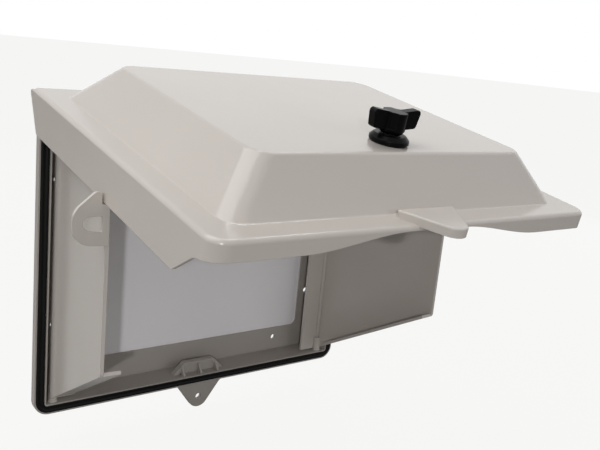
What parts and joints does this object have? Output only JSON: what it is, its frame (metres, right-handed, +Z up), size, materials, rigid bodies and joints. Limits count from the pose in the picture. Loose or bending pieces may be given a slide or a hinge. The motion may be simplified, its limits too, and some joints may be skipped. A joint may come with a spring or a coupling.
{
  "type": "hinged enclosure",
  "caption": "Wall-mounted protective hood with a gasketed frame, a top-hinged domed lid with a quarter-turn knob, and fold-out side wings that prop the lid open.",
  "frame": {"origin": "centre of the frame on its mounting plane, at the back face of the frame's flange", "axes": "+Z up, +Y into the wall, +X to the right as seen from the front; the lid opens towards -Y"},
  "size_m": [0.3458, 0.3027, 0.305],
  "materials": {
    "frame_polycarbonate": "moulded satin",
    "lid_polycarbonate": "moulded semi-gloss",
    "gasket_rubber": "extruded matt",
    "panel_grey": "matt",
    "knob_nylon": "moulded satin",
    "washer_acetal": "turned",
    "steel": "zinc plated"
  },
  "bodies": {
    "base": {"frame": "frame_polycarbonate", "gasket": "gasket_rubber", "backing_panel": "panel_grey", "latch_keeper": "lid_polycarbonate", "keeper_screws": "steel", "hinge_rod": "steel", "rod_caps": "steel", "wing_pins": "steel", "wing_washers": "washer_acetal"},
    "lid": {"lid_shell": "lid_polycarbonate", "latch_seal": "gasket_rubber", "latch_bezel": "knob_nylon", "nut_washer": "steel", "latch_nut": "steel"},
    "latch": {"knob": "knob_nylon", "latch_shaft": "steel", "latch_cam": "steel", "cam_washer": "steel", "cam_screw": "steel"},
    "left_wing": {"left_wing": "lid_polycarbonate"},
    "right_wing": {"right_wing": "lid_polycarbonate"}
  },
  "joints": [
    {"name": "lid_hinge", "type": "hinge", "parent": "base", "child": "lid", "pos_m": [0, -0.03315, 0.12159], "axis": [1, 0, 0], "range_deg": [0, 79.83]},
    {"name": "latch_turn", "type": "hinge", "parent": "lid", "child": "latch", "pos_m": [0, -0.2317, 0.12494], "axis": [0, -0.1766, 0.9843], "range_deg": [0, 90]},
    {"name": "left_wing_hinge", "type": "hinge", "parent": "base", "child": "left_wing", "pos_m": [-0.135, -0.023, -0.006], "axis": [0, 0, 1], "range_deg": [0, 100.01]},
    {"name": "right_wing_hinge", "type": "hinge", "parent": "base", "child": "right_wing", "pos_m": [0.135, -0.023, -0.006], "axis": [0, 0, -1], "range_deg": [0, 100.01]}
  ],
  "couplings": [
    {"joint": "left_wing_hinge", "follows": "lid_hinge", "ratio": 1.2527},
    {"joint": "right_wing_hinge", "follows": "lid_hinge", "ratio": 1.2527}
  ]
}
